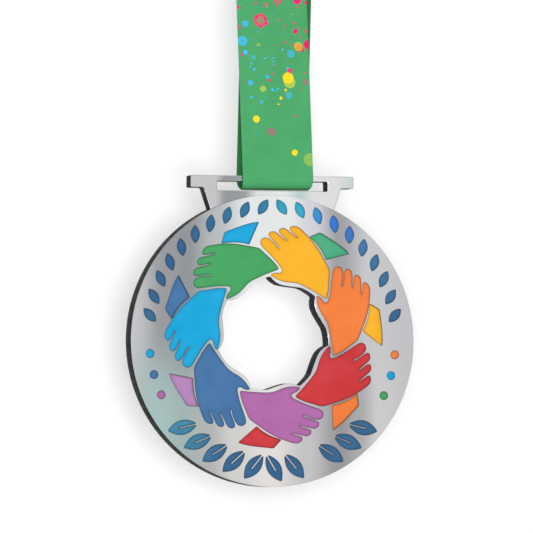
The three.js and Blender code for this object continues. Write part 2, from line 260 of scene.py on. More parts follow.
def softened(outline, radius=CORNER_SOFTENING, step=OUTLINE_STEP):
    """An outline resampled at even steps, its corners rounded by a bell-shaped running mean."""
    closed = np.vstack((outline, outline[:1]))
    along = np.concatenate(([0], np.cumsum(np.hypot(*np.diff(closed, axis=0).T))))
    fine = min(step, radius) / 2
    even = np.linspace(0, along[-1], int(along[-1] / fine), endpoint=False)
    points = np.column_stack([np.interp(even, along, closed[:, i]) for i in (0, 1)])
    reach = math.ceil(3 * radius / fine)
    weights = np.exp(-0.5 * (np.arange(-reach, reach + 1) * fine / radius) ** 2)
    shifted = [w * np.roll(points, k, axis=0) for k, w in enumerate(weights, -reach)]
    points = sum(shifted) / weights.sum()
    return anticlockwise(points[:: max(1, round(step / fine))])


def offset(outline, distance):
    """An anticlockwise outline moved outwards, each point along the mean of its edges' normals."""
    along = np.roll(outline, -1, axis=0) - np.roll(outline, 1, axis=0)
    along /= np.maximum(np.hypot(*along.T), 1e-9)[:, None]
    return outline + distance * np.column_stack((along[:, 1], -along[:, 0]))


# ---- Cells of the casting ----


def placed_leaf(leaf, angle, tilt, radius, centre_z):
    """A leaf at a polar angle, leaning up the disc's side."""
    x, z = radius * math.cos(angle), radius * math.sin(angle)
    lean = math.copysign(math.radians(tilt), x)
    return turned(leaf, angle + lean - math.pi / 2) + (x, z + centre_z)


def cell_outlines():
    """Every enamel cell as node name: (outline about the disc's middle, enamel name). A hand's
    enamel runs a little over its cell's drawn edge."""
    cells = {}
    grown, sleeve = offset(softened(hand_outline()), HAND_SWELL), sleeve_outline()
    for i, colour in enumerate(HANDS):
        cells["hand_enamel_" + colour] = (turned(grown, -i * HAND_STEP) + (0, RING_RISE), colour)
        end = turned(sleeve, -(i + 2) * HAND_STEP) + (0, RING_RISE)
        cells["sleeve_enamel_" + colour] = (end, colour)
    height = UPPER_BAND[1] - UPPER_BAND[0]
    leaf = leaf_outline(height / math.cos(math.radians(UPPER_TILT)), UPPER_LEAF_WIDTH, 0)
    middle = sum(UPPER_BAND) / 2
    for i, degrees in enumerate(np.linspace(*UPPER_SPAN, UPPER_LEAVES)):
        outline = placed_leaf(leaf, math.radians(degrees), UPPER_TILT, middle, RING_RISE)
        cells[f"upper_leaf_enamel_{i + 1:02d}"] = (outline, "leaf")
    height = LOWER_BAND[1] - LOWER_BAND[0]
    leaf = leaf_outline(height / math.cos(math.radians(LOWER_TILT)), LOWER_LEAF_WIDTH, MIDRIB)
    middle = sum(LOWER_BAND) / 2
    for i, place in enumerate(LOWER_PLACES):
        angle = math.radians(LOWER_START + place * LOWER_PITCH)
        outline = placed_leaf(leaf, angle, LOWER_TILT, middle, 0)
        cells[f"lower_leaf_enamel_{i + 1:02d}"] = (outline, "leaf")
    for side, colours in DOT_COLOURS.items():
        for i, colour in enumerate(colours):
            below = math.radians(DOT_ANGLES[i])
            x = math.copysign(middle * math.cos(below), -1 if side == "left" else 1)
            outline = circle(DOT_RADIUS, step=OUTLINE_STEP) + (x, -middle * math.sin(below))
            cells[f"dot_enamel_{side}_{i + 1}"] = (outline, colour)
    return {name: (softened(outline), enamel) for name, (outline, enamel) in cells.items()}


# ---- Meshes ----


class Shell:
    """Points in millimetres as (x, depth, z), and faces with the number of their material."""

    def __init__(self):
        self.points, self.faces, self.finishes, self.smooth, self.count = [], [], [], [], 0

    def add(self, points, faces, finish=0, smooth=True):
        self.points.append(np.asarray(points, float))
        self.faces += (np.asarray(faces) + self.count).tolist()
        self.finishes += [finish] * len(faces)
        self.smooth += [smooth] * len(faces)
        self.count += len(points)

    def edge(self, outline, profile, finish=0):
        """A profile carried round an outline: each step is (distance outwards, depth)."""
        rows = [level(offset(outline, out), depth) for out, depth in profile]
        self.add(np.vstack(rows), quads(hoops(len(rows), len(outline))), finish)

    def rounded_wall(self, outline, inset, front, rear, edge, wall):
        """A wall from the front face to the rear one, rounded where it meets each."""
        radius = abs(inset)
        self.edge(outline, rounding((inset, front), (0, front + radius)), edge)
        self.edge(outline, [(0, front + radius), (0, rear - radius)], wall)
        self.edge(outline, rounding((inset, rear), (0, rear - radius)), edge)

    def cap(self, outlines, depth, finish=0):
        """A flat face at one depth, inside the first outline and outside the others."""
        points, triangles = filled(outlines)
        self.add(level(points, depth), triangles, finish, smooth=False)

    def piece(self, name, materials, merge=2e-6):
        """The shell as an object in the frame, its doubles merged and its faces turned outwards."""
        points = np.vstack(self.points) * MM + (0, 0, DISC_Z)
        mesh = new_mesh(name, points, self.faces, materials)
        mesh.polygons.foreach_set("material_index", self.finishes)
        mesh.polygons.foreach_set("use_smooth", self.smooth)
        return linked(mesh, merge)


def level(outline, depth):
    """Flat points set at a depth, or at a depth each."""
    return np.column_stack((outline[:, 0], np.broadcast_to(depth, len(outline)), outline[:, 1]))


def inside(points, outlines):
    """Whether each point lies inside an odd number of outlines: a line from it towards +X crosses
    their edges an odd number of times."""
    start = np.vstack(outlines)
    end = np.vstack([np.roll(outline, -1, axis=0) for outline in outlines])
    run, climb = (end - start).T
    slope = run / np.where(climb == 0, 1, climb)
    odd = []
    for part in np.array_split(points, max(1, len(points) // BATCH)):
        x, z = part[:, :1], part[:, 1:]
        between = (start[:, 1] > z) != (end[:, 1] > z)
        crossing = start[:, 0] + (z - start[:, 1]) * slope
        odd.append(np.sum(between & (crossing > x), axis=1) % 2 == 1)
    return np.concatenate(odd)


def filled(outlines, inner=None):
    """Triangles that fill the first outline outside the others, with inner points where given."""
    points, edges = [], []
    for outline in outlines:
        first = len(points)
        points += [Vector(p) for p in outline]
        ring = np.arange(first, len(points))
        edges += np.column_stack((ring, np.roll(ring, -1))).tolist()
    if inner is not None:
        points += [Vector(p) for p in inner]
    made = delaunay_2d_cdt(points, edges, [], 1, 1e-7)
    corners, triangles = np.array([tuple(p) for p in made[0]]), np.array(made[2])
    return corners, triangles[inside(corners[triangles].mean(axis=1), outlines)]


def rounding(start, end, steps=3):
    """A quarter-round profile from a point on the flat to one on the wall, as (out, depth)."""
    turn = np.linspace(0, math.pi / 2, steps + 1)
    (o0, d0), (o1, d1) = start, end
    return [(o0 + (o1 - o0) * math.sin(a), d1 + (d0 - d1) * math.cos(a)) for a in turn]


def hoops(high, wide, first=0):
    """Point numbers of rows of points, each row closed by its first point."""
    index = np.arange(high * wide).reshape(high, wide) + first
    return np.column_stack((index, index[:, 0]))


def quads(index):
    """Faces between neighbouring rows and columns of point numbers."""
    corners = (index[:-1, :-1], index[:-1, 1:], index[1:, 1:], index[1:, :-1])
    return np.stack(corners, -1).reshape(-1, 4)


def tube(index):
    """Faces of a tube of closed rows of point numbers: its wall and its two ends."""
    return quads(index).tolist() + [index[0, -2::-1].tolist(), index[-1, :-1].tolist()]


def new_mesh(name, points, faces, materials):
    mesh = bpy.data.meshes.new(name)
    mesh.from_pydata(points.tolist(), [], faces)
    for material in materials:
        mesh.materials.append(material)
    return mesh


def linked(mesh, merge=0.0):
    """A mesh as an object, its doubles merged where asked and its faces turned outwards."""
    work = bmesh.new()
    work.from_mesh(mesh)
    if merge:
        bmesh.ops.remove_doubles(work, verts=work.verts, dist=merge)
        bmesh.ops.dissolve_degenerate(work, edges=work.edges, dist=merge / 4)
    bmesh.ops.recalc_face_normals(work, faces=work.faces)
    work.to_mesh(mesh)
    work.free()
    mesh.validate()
    return placed(mesh)


def placed(data):
    """Some data as an object of its own name in the scene."""
    thing = bpy.data.objects.new(data.name, data)
    bpy.context.scene.collection.objects.link(thing)
    return thing


def hard_edges(piece, degrees):
    """Sharpens edges over an angle, and keeps flat faces flat and round ones smooth."""
    mesh = piece.data
    smooth = np.empty(len(mesh.polygons), bool)
    mesh.polygons.foreach_get("use_smooth", smooth)
    mesh.set_sharp_from_angle(angle=math.radians(degrees))
    mesh.polygons.foreach_set("use_smooth", smooth)


# ---- Node helpers ----


def linear(colour):
    """A colour of 0 to 255 display values as linear red, green, blue and alpha."""
    c = np.array(colour, float) / 255
    c = np.where(c <= 0.04045, c / 12.92, ((c + 0.055) / 1.055) ** 2.4)
    return (*c.tolist(), 1.0)


class Nodes:
    """Adds and joins nodes in one tree."""

    def __init__(self, tree):
        self.tree = tree

    def new(self, kind, inputs=None, **settings):
        """A node with its settings, then its inputs: a socket is linked and a value is set."""
        node = self.tree.nodes.new(kind)
        for key, value in settings.items():
            setattr(node, key, value)
        for key, value in (inputs or {}).items():
            self.put(value, node.inputs[key])
        return node

    def put(self, value, socket):
        """Links a socket to another node's output, or sets it to a plain value."""
        if isinstance(value, bpy.types.NodeSocket):
            self.tree.links.new(value, socket)
        else:
            socket.default_value = value

    def surface(self, **sockets):
        """Links or sets the Principled shader's sockets, named with _ for a space."""
        for key, value in sockets.items():
            self.put(value, self.tree.nodes["Principled BSDF"].inputs[key.replace("_", " ")])

    def place(self):
        return self.new("ShaderNodeTexCoord").outputs["Object"]

    def axes(self, vector):
        return self.new("ShaderNodeSeparateXYZ", {0: vector}).outputs

    def bump(self, height, strength, distance):
        inputs = {"Strength": strength, "Distance": distance, "Height": height}
        return self.new("ShaderNodeBump", inputs).outputs[0]

    def math(self, operation, a, b=0.0, c=0.0, clamp=False):
        inputs = {0: a, 1: b, 2: c}
        return self.new("ShaderNodeMath", inputs, operation=operation, use_clamp=clamp).outputs[0]

    def vector(self, operation, a, b=(0, 0, 0)):
        return self.new("ShaderNodeVectorMath", {0: a, 1: b}, operation=operation)

    def mix(self, factor, a, b, blend="MIX"):
        settings = {"data_type": "RGBA", "blend_type": blend, "clamp_factor": True}
        return self.new("ShaderNodeMix", {0: factor, 6: a, 7: b}, **settings).outputs[2]

    def span(self, value, low, high, to_low=0.0, to_high=1.0, smooth=False):
        kind = "SMOOTHSTEP" if smooth else "LINEAR"
        inputs = {0: value, 1: low, 2: high, 3: to_low, 4: to_high}
        return self.new("ShaderNodeMapRange", inputs, interpolation_type=kind).outputs[0]

    def noise(self, vector, scale, detail=2.0, roughness=0.5):
        inputs = {"Vector": vector, "Scale": scale, "Detail": detail, "Roughness": roughness}
        return self.new("ShaderNodeTexNoise", inputs).outputs[0]

    def ramp(self, factor, stops, kind="LINEAR"):
        node = self.new("ShaderNodeValToRGB", {0: factor})
        node.color_ramp.interpolation = kind
        elements = node.color_ramp.elements
        while len(elements) < len(stops):
            elements.new(0.5)
        for element, (place, colour) in zip(elements, stops):
            element.position = place
            element.color = colour
        return node.outputs[0]


def new_material(name, **sockets):
    """A material with one Principled shader whose plain sockets are set, and its nodes."""
    material = bpy.data.materials.new(name)
    material.use_nodes = True
    nodes = Nodes(material.node_tree)
    nodes.surface(**sockets)
    return material, nodes


def new_group(name, inputs, outputs):
    """An empty shader group with named sockets, given as (name, kind, default)."""
    group = bpy.data.node_groups.new(name, "ShaderNodeTree")
    for label, kind, default in inputs:
        kind = "NodeSocket" + kind
        socket = group.interface.new_socket(label, in_out="INPUT", socket_type=kind)
        if default is not None:
            socket.default_value = default
    for label, kind in outputs:
        group.interface.new_socket(label, in_out="OUTPUT", socket_type="NodeSocket" + kind)
    nodes = Nodes(group)
    return nodes, nodes.new("NodeGroupInput").outputs, nodes.new("NodeGroupOutput").inputs


# ---- Shared effects ----


def fine_grain_group():
    """Handling marks and casting grain: a height, and a roughness that varies about a middle."""
    inputs = [("Vector", "Vector", None), ("Scale", "Float", 900.0), ("Middle", "Float", 0.3)]
    inputs += [("Variation", "Float", 0.06)]
    outputs = [("Height", "Float"), ("Roughness", "Float")]
    nodes, given, result = new_group("fine_grain", inputs, outputs)
    nodes.put(nodes.noise(given["Vector"], given["Scale"], 3.0), result["Height"])
    patches = nodes.noise(given["Vector"], 55.0, 4.0, 0.6)
    swing = nodes.math("MULTIPLY", nodes.math("SUBTRACT", patches, 0.5), given["Variation"])
    swing = nodes.math("MULTIPLY", swing, 2.0)
    nodes.put(nodes.math("ADD", given["Middle"], swing), result["Roughness"])


def weave_group():
    """A ribbed ribbon weave from across and along coordinates in millimetres: ribs across the
    ribbon, crossed by finer warp threads."""
    inputs = [("Across", "Float", 0.0), ("Along", "Float", 0.0), ("Rib", "Float", 0.45)]
    outputs = [("Height", "Float"), ("Shade", "Float")]
    nodes, given, result = new_group("ribbon_weave", inputs, outputs)
    phase = nodes.math("MULTIPLY", given["Along"], 2 * math.pi)
    rib = nodes.math("SINE", nodes.math("DIVIDE", phase, given["Rib"]))
    warp = nodes.math("SINE", nodes.math("MULTIPLY", given["Across"], 2 * math.pi / WARP_PITCH))
    both = nodes.math("ADD", nodes.math("MULTIPLY", rib, 0.35), nodes.math("MULTIPLY", warp, 0.15))
    height = nodes.math("ADD", both, 0.5)
    nodes.put(height, result["Height"])
    nodes.put(nodes.span(height, 0.0, 1.0, 0.93, 1.04), result["Shade"])


def paint_drop_group():
    """One splash of paint laid over a colour: full inside its radius, soft at its edge, and thinner
    in its middle by its hollow."""
    inputs = [("Base", "Color", (0, 0, 0, 1)), ("Place", "Vector", None)]
    inputs += [("Centre", "Vector", None), ("Radius", "Float", 1.0)]
    inputs += [("Paint", "Color", (1, 1, 1, 1)), ("Cover", "Float", 1.0), ("Hollow", "Float", 0.0)]
    nodes, given, result = new_group("paint_drop", inputs, [("Color", "Color")])
    away = nodes.vector("DISTANCE", given["Place"], given["Centre"]).outputs["Value"]
    share = nodes.math("DIVIDE", away, given["Radius"])
    full = nodes.span(share, 0.92, 1.04, 1.0, 0.0, smooth=True)
    thin = nodes.span(share, 0.0, 0.85, 1.0, 0.0, smooth=True)
    thin = nodes.math("MULTIPLY", thin, given["Hollow"])
    cover = nodes.math("MULTIPLY", given["Cover"], nodes.math("SUBTRACT", 1.0, thin))
    factor = nodes.math("MULTIPLY", full, cover)
    nodes.put(nodes.mix(factor, given["Base"], given["Paint"]), result["Color"])


# ---- Finishes ----


def grained(nodes, roughness, strength, distance):
    """Fine grain in a finish's roughness and normal."""
    group = bpy.data.node_groups["fine_grain"]
    inputs = {"Vector": nodes.place(), "Middle": roughness}
    grain = nodes.new("ShaderNodeGroup", inputs, node_tree=group).outputs
    normal = nodes.bump(grain["Height"], strength, distance)
    nodes.surface(Roughness=grain["Roughness"], Normal=normal)


def silver_material(name, roughness, strength, *tones):
    """Cast silver plate with painted reflection bands: its colour goes lighter and darker across
    the disc, with fine grain and handling marks in the roughness. Two rows of band tones blend
    from the lower to the upper half."""
    material, nodes = new_material(name, Metallic=1.0)
    grained(nodes, roughness, strength, 0.00005)
    place = nodes.place()
    split = nodes.axes(place)
    wander = nodes.math("SUBTRACT", nodes.noise(place, 18.0), 0.5)
    across = nodes.math("ADD", split["X"], nodes.math("MULTIPLY", wander, 0.006))
    across = nodes.span(across, -TONE_REACH * MM, TONE_REACH * MM)
    ramps = [nodes.ramp(across, tone_stops(row), "EASE") for row in tones]
    rise = nodes.span(split["Z"], DISC_Z - 0.022, DISC_Z + 0.006, smooth=True)
    nodes.surface(Base_Color=nodes.mix(rise, ramps[0], ramps[-1]))
    return material


def shaded_wall_material(name, colour):
    """Cut edges painted near black as shade on the medal's sides, with fine lines through the
    thickness left by the cutter.
    """
    material, nodes = new_material(name, Specular_IOR_Level=0.03)
    stretched = nodes.vector("MULTIPLY", nodes.place(), (1.0, 0.04, 1.0)).outputs[0]
    lines = nodes.noise(stretched, 1400.0, 3.0, 0.6)
    base = linear(colour)
    tone = nodes.mix(nodes.span(lines, 0.4, 0.65), base, scaled(base, 2.6))
    rough = nodes.span(lines, 0.3, 0.7, 0.68, 0.52)
    nodes.surface(Base_Color=tone, Roughness=rough, Normal=nodes.bump(lines, 0.25, 0.00004))
    return material


def scaled(colour, factor, lift=0.0):
    """A linear colour made deeper or paler, up to full."""
    return (*(min(1.0, c * factor + lift) for c in colour[:3]), 1.0)


def tone_stops(row):
    """Ramp stops from (millimetres across, red, green, blue)."""
    return [((x + TONE_REACH) / (2 * TONE_REACH), linear(colour)) for x, *colour in row]


TONE_REACH = 46.0
# Painted reflection bands on the silver, as (millimetres across, red, green, blue).
LOWER_REFLECTION_TONES = (
    (-44, 172, 186, 184),
    (-36, 166, 192, 190),
    (-28, 162, 180, 178),
    (-20, 178, 180, 180),
    (-12, 208, 207, 205),
    (-1, 226, 222, 219),
    (10, 196, 194, 196),
    (21, 150, 152, 154),
    (27, 170, 171, 173),
    (33, 204, 203, 204),
    (44, 192, 191, 192),
)
UPPER_REFLECTION_TONES = (
    (-44, 196, 197, 200),
    (-34, 152, 154, 158),
    (-27, 146, 150, 154),
    (-18, 184, 188, 190),
    (-8, 226, 230, 231),
    (3, 228, 232, 232),
    (12, 210, 209, 218),
    (20, 160, 161, 166),
    (30, 200, 200, 203),
    (44, 193, 194, 197),
)
HANGER_REFLECTION_TONES = (
    (-28, 198, 199, 201),
    (-19, 196, 196, 198),
    (-15, 148, 152, 154),
    (-10, 150, 158, 158),
    (-5, 222, 224, 222),
    (2, 225, 232, 229),
    (8, 190, 208, 206),
    (13, 222, 222, 223),
    (19, 222, 221, 221),
    (28, 190, 206, 208),
)
# Painted shade: darker silver on the cells' walls and floors, as shade in the recesses, in painted
# reflection bands.
RECESS_SHADE_TONES = ((-44, 92, 98, 104), (-10, 120, 128, 134), (10, 116, 122, 130), (44, 96, 102, 108))
# Painted shade: a dark line on the rounded lip round each cell, in painted reflection bands.
LIP_SHADE_TONES = (
    (-44, 78, 76, 78),
    (-24, 70, 68, 70),
    (-4, 104, 108, 112),
    (20, 66, 68, 76),
    (44, 82, 82, 84),
)
BACK_TONES = ((-44, 176, 178, 180), (-12, 190, 191, 193), (14, 186, 188, 190), (44, 178, 179, 182))


def enamel_material(name, colour):
    """Glossy stove enamel: painted shade darkens the colour towards each cell's edge, and the
    colour drifts a little across the fill."""
    gloss = {"Specular_IOR_Level": 0.12, "Coat_Weight": 0.1, "Coat_Roughness": 0.1}
    material, nodes = new_material("fill_" + name, **gloss)
    grained(nodes, 0.22, 0.06, 0.00004)
    place = nodes.place()
    rim = nodes.new("ShaderNodeAttribute", attribute_name="rim").outputs["Fac"]
    base = linear(colour)
    deep, pale = scaled(base, 0.62), scaled(base, 1.06, 0.01)
    tone = nodes.mix(nodes.span(nodes.noise(place, 140.0, 3.0), 0.35, 0.7), base, pale)
    specks = nodes.span(nodes.noise(place, 5200.0, 1.0), 0.62, 0.75, 0.0, 0.16)
    tone = nodes.mix(specks, tone, deep)
    # Painted shade: the colour deepens along the fill's edge, by the rim attribute.
    nodes.surface(Base_Color=nodes.mix(nodes.math("MULTIPLY", rim, 0.75), tone, deep))
    return material


LEAF_BLUE = (42, 92, 132)
# The leaves' blues as (degrees round the ring, red, green, blue).
LEAF_ROUND = (
    (0.0, 44, 87, 128),
    (40.0, 53, 103, 147),
    (60.0, 42, 107, 191),
    (80.0, 38, 151, 181),
    (100.0, 39, 104, 141),
    (140.0, 39, 85, 126),
    (200.0, 46, 100, 136),
    (220.0, 56, 122, 152),
    (250.0, 42, 90, 129),
    (340.0, 41, 90, 127),
    (360.0, 44, 87, 128),
)


def leaf_material():
    """The leaves' enamel, whose blue drifts with the angle round the disc."""
    material = enamel_material("leaf", LEAF_BLUE)
    nodes = Nodes(material.node_tree)
    split = nodes.axes(nodes.place())
    rise = nodes.math("SUBTRACT", split["Z"], DISC_Z + RING_RISE * MM)
    angle = nodes.math("ARCTAN2", rise, split["X"])
    turn = nodes.math("FRACT", nodes.math("DIVIDE", angle, 2 * math.pi))
    stops = [(degrees / 360, linear(colour)) for degrees, *colour in LEAF_ROUND]
    ratio = nodes.mix(1.0, nodes.ramp(turn, stops, "EASE"), linear(LEAF_BLUE), "DIVIDE")
    tone = material.node_tree.nodes["Principled BSDF"].inputs["Base Color"].links[0].from_socket
    nodes.surface(Base_Color=nodes.mix(1.0, tone, ratio, "MULTIPLY"))
    return material


PAINTS = {
    "magenta": (228, 12, 108),
    "mauve": (168, 78, 118),
    "sky": (58, 182, 236),
    "orange": (238, 138, 48),
    "yellow": (244, 208, 20),
    "lime": (180, 200, 58),
}
# Paint drops on the printed side, in the order they fell: paint, cover, how much thinner a drop is
# in its middle, then each drop as (across the ribbon, up it from the bar, radius) in millimetres.
DROPS = (
    (
        "mauve", 0.6, 0.5,
        (5.9, 53.6, 0.69), (13.0, 48.5, 0.59), (10.7, 32.0, 0.63), (10.6, 34.6, 0.34),
    ),
    (
        "mauve", 0.75, 0.4,
        (0.4, 46.3, 0.75), (20.8, 29.7, 0.95), (9.5, 14.4, 1.26), (17.2, 19.2, 0.54),
    ),
    ("magenta", 0.85, 0.9, (7.3, 48.4, 2.08), (13.0, 54.9, 1.4), (9.2, 53.1, 0.65)),
    (
        "magenta", 1.0, 0.0,
        (8.9, 48.9, 0.46), (9.2, 47.4, 0.5), (5.9, 49.4, 0.5), (7.2, 46.4, 0.4), (0.5, 52.3, 0.44),
        (12.4, 53.1, 0.36), (19.1, 54.7, 1.25), (22.0, 54.0, 0.65), (19.2, 52.6, 0.34),
        (17.9, 47.7, 0.34), (19.2, 46.4, 0.28), (18.2, 45.2, 0.79), (21.4, 45.1, 0.44),
        (19.6, 43.4, 0.3), (14.7, 41.8, 0.36), (22.2, 41.2, 1.6), (15.0, 46.7, 0.28),
        (1.2, 37.9, 0.44), (9.5, 30.1, 0.44), (20.7, 32.4, 0.34),
    ),
    ("sky", 0.8, 0.4, (1.4, 42.0, 1.49), (2.5, 47.3, 1.03), (3.5, 29.3, 0.83), (8.9, 31.2, 0.59)),
    ("sky", 0.55, 0.2, (16.5, 38.3, 1.23), (15.4, 25.5, 0.99), (4.8, 37.0, 0.65), (6.8, 23.5, 0.6)),
    (
        "sky", 1.0, 0.0,
        (2.2, 38.5, 0.75), (13.9, 39.5, 0.32), (8.4, 36.8, 0.32), (11.0, 35.9, 0.3),
        (4.1, 35.2, 0.28), (3.6, 34.1, 0.3), (4.8, 33.4, 0.44), (15.4, 33.8, 0.44),
        (10.3, 27.2, 0.5), (12.0, 27.5, 0.36), (3.6, 24.9, 0.4), (10.8, 36.9, 0.26),
    ),
    ("magenta", 0.95, 0.2, (16.0, 33.1, 0.83)),
    ("lime", 0.45, 0.2, (6.4, 40.9, 0.55), (21.4, 6.0, 2.04)),
    ("lime", 0.75, 0.2, (18.9, 40.6, 1.35), (15.8, 29.6, 1.85), (7.3, 27.5, 0.95)),
    ("orange", 1.0, 0.0, (19.2, 40.3, 1.03)),
    ("magenta", 1.0, 0.0, (17.4, 41.2, 0.38), (20.4, 39.3, 0.44)),
    ("yellow", 1.0, 0.1, (15.4, 30.9, 1.72), (4.9, 18.2, 1.09), (16.6, 8.1, 0.92)),
    ("yellow", 1.0, 0.0, (14.5, 27.2, 0.4), (12.9, 24.7, 0.48), (12.0, 22.8, 0.3)),
)
# Fine spray: cells to a millimetre, share of cells with a speck, its radius in cells, its paint and
# the side of the ribbon that it favours.
SPRAYS = (
    (0.62, 0.5, 0.17, "sky", -1),
    (1.1, 0.4, 0.16, "sky", -1),
    (0.55, 0.45, 0.15, "magenta", 1),
    (0.45, 0.2, 0.12, "yellow", 0),
)


CLOTH_LOOKS = {"Specular_IOR_Level": 0.2, "Sheen_Weight": 0.1}


def cloth_base(nodes, colour):
    """Woven ribs on a ribbon: returns its place in millimetres, that place's axes and its shaded
    colour."""
    place = nodes.new("ShaderNodeUVMap", uv_map="strip").outputs[0]
    split = nodes.axes(place)
    group = bpy.data.node_groups["ribbon_weave"]
    inputs = {"Across": split["X"], "Along": split["Y"]}
    weave = nodes.new("ShaderNodeGroup", inputs, node_tree=group).outputs
    drift = nodes.span(nodes.noise(place, 0.12, 3.0), 0.3, 0.7, 0.95, 1.05)
    gloss = nodes.span(weave["Height"], 0.0, 1.0, 0.85, 0.62)
    nodes.surface(Roughness=gloss, Normal=nodes.bump(weave["Height"], 0.35, 0.00006))
    tone = nodes.vector("SCALE", linear(colour)[:3])
    nodes.put(nodes.math("MULTIPLY", weave["Shade"], drift), tone.inputs["Scale"])
    return place, split, tone.outputs[0]


def plain_ribbon_material(colour):
    material, nodes = new_material("ribbon_plain_side", **CLOTH_LOOKS)
    nodes.surface(Base_Color=cloth_base(nodes, colour)[2])
    return material


def printed_ribbon_material(colour, bar_along):
    """The ribbon's outer side: paint drops and fine spray over the woven green, repeating along
    it."""
    material, nodes = new_material("ribbon_printed_side", **CLOTH_LOOKS)
    place, split, tone = cloth_base(nodes, colour)
    up = nodes.math("SUBTRACT", split["Y"], bar_along)
    up = nodes.math("FLOORED_MODULO", up, PRINT_REPEAT)
    ragged = nodes.noise(place, 1.6).node.outputs["Color"]
    ragged = nodes.vector("SUBTRACT", ragged, (0.5, 0.5, 0.5)).outputs[0]
    ragged = nodes.vector("MULTIPLY", ragged, (0.35, 0.35, 0.0)).outputs[0]
    flat = nodes.new("ShaderNodeCombineXYZ", {0: split["X"], 1: up, 2: 0.0}).outputs[0]
    spot = nodes.vector("ADD", flat, ragged).outputs[0]
    thick = nodes.span(up, 16.0, 34.0, 0.02, 1.0, smooth=True)
    thick = nodes.math("MULTIPLY", thick, nodes.span(up, 58.0, 62.0, 1.0, 0.0))
    lean = nodes.math("SUBTRACT", nodes.math("DIVIDE", split["X"], RIBBON_WIDTH / 2), 1.0)
    for i, (density, share, radius, paint, side) in enumerate(SPRAYS):
        moved = nodes.vector("ADD", place, (13.0 * i + 3, 7.0 * i, 0.0)).outputs[0]
        inputs = {"Vector": moved, "Scale": density, "Randomness": 1.0}
        cells = nodes.new("ShaderNodeTexVoronoi", inputs).outputs
        size = nodes.new("ShaderNodeSeparateColor", {0: cells["Color"]}).outputs
        reach = nodes.math("MULTIPLY", size[0], radius)
        near = nodes.math("LESS_THAN", cells["Distance"], reach)
        kept = nodes.math("ADD", nodes.math("MULTIPLY", lean, 0.6 * side), 1.0)
        kept = nodes.math("MULTIPLY", kept, nodes.math("MULTIPLY", thick, share))
        chosen = nodes.math("LESS_THAN", size[1], kept)
        tone = nodes.mix(nodes.math("MULTIPLY", near, chosen), tone, linear(PAINTS[paint]))
    group = bpy.data.node_groups["paint_drop"]
    for paint, cover, hollow, *drops in DROPS:
        for across, rise, radius in drops:
            inputs = {"Base": tone, "Place": spot, "Centre": (across, rise, 0.0), "Radius": radius}
            inputs |= {"Paint": linear(PAINTS[paint]), "Cover": cover, "Hollow": hollow}
            tone = nodes.new("ShaderNodeGroup", inputs, node_tree=group).outputs[0]
    nodes.surface(Base_Color=tone)
    return material


def thread_material(name, colour, scale):
    """Sewing or elastic yarn: fine twisted fibres that change tone along the thread."""
    material, nodes = new_material(name, Specular_IOR_Level=0.25, Sheen_Weight=0.15)
    fibre = nodes.noise(nodes.place(), scale, 3.0, 0.6)
    base = linear(colour)
    tone = nodes.mix(nodes.span(fibre, 0.35, 0.65), scaled(base, 0.7), base)
    rough = nodes.span(fibre, 0.3, 0.7, 0.82, 0.6)
    nodes.surface(Base_Color=tone, Roughness=rough, Normal=nodes.bump(fibre, 0.3, 0.00005))
    return material


# ---- Pieces ----


FACE, EDGE, WALL, CELL, FIELD, PLATE, LIP = range(7)


def add_disc(shell, bevel, depth):
    """The disc with its cells, opening and recessed back."""
    rim = circle(DISC_RADIUS, step=RIM_STEP)
    opening = softened(opening_outline() + (0, RING_RISE), WAVE_SOFTENING)
    cells = [outline for outline, _ in cell_outlines().values()]
    holes = [offset(outline, bevel) for outline in (opening, *cells)]
    shell.cap([offset(rim, -bevel), *holes], FRONT, FACE)
    for outline, inset in ((rim, -bevel), (opening, bevel)):
        shell.rounded_wall(outline, inset, FRONT, BACK, EDGE, WALL)
    for outline in cells:
        # Each cell's rounded lip carries a painted dark shade line.
        shell.edge(outline, rounding((bevel, FRONT), (0, FRONT + bevel)), LIP)
        # Cell walls and floors take the recess finish, darkened with painted shade.
        shell.edge(outline, [(0, FRONT + bevel), (0, depth)], CELL)
        shell.cap([outline], depth, CELL)
    field = BACK - BACK_DEPTH
    inner, lip = circle(DISC_RADIUS - BACK_RIM), circle(BACK_LIP_RADIUS, RING_RISE)
    shell.cap([offset(rim, -bevel), offset(inner, bevel)], BACK, EDGE)
    shell.cap([offset(lip, -bevel), offset(opening, bevel)], BACK, EDGE)
    for outline, inset in ((inner, bevel), (lip, -bevel)):
        shell.edge(outline, rounding((inset, BACK), (0, BACK - bevel)) + [(0, field)], EDGE)
    shell.cap([inner, lip], field, FIELD)


def add_hanger(shell, bevel):
    """The T-shaped plate with its slot."""
    plate = softened(hanger_outline(), WAVE_SOFTENING)
    slot = softened(slot_outline(), SLOT_SOFTENING)
    for depth, finish in ((-HANGER_DEPTH, PLATE), (HANGER_DEPTH, EDGE)):
        shell.cap([offset(plate, -bevel), offset(slot, bevel)], depth, finish)
    for outline, inset in ((plate, -bevel), (slot, bevel)):
        shell.rounded_wall(outline, inset, -HANGER_DEPTH, HANGER_DEPTH, EDGE, WALL)


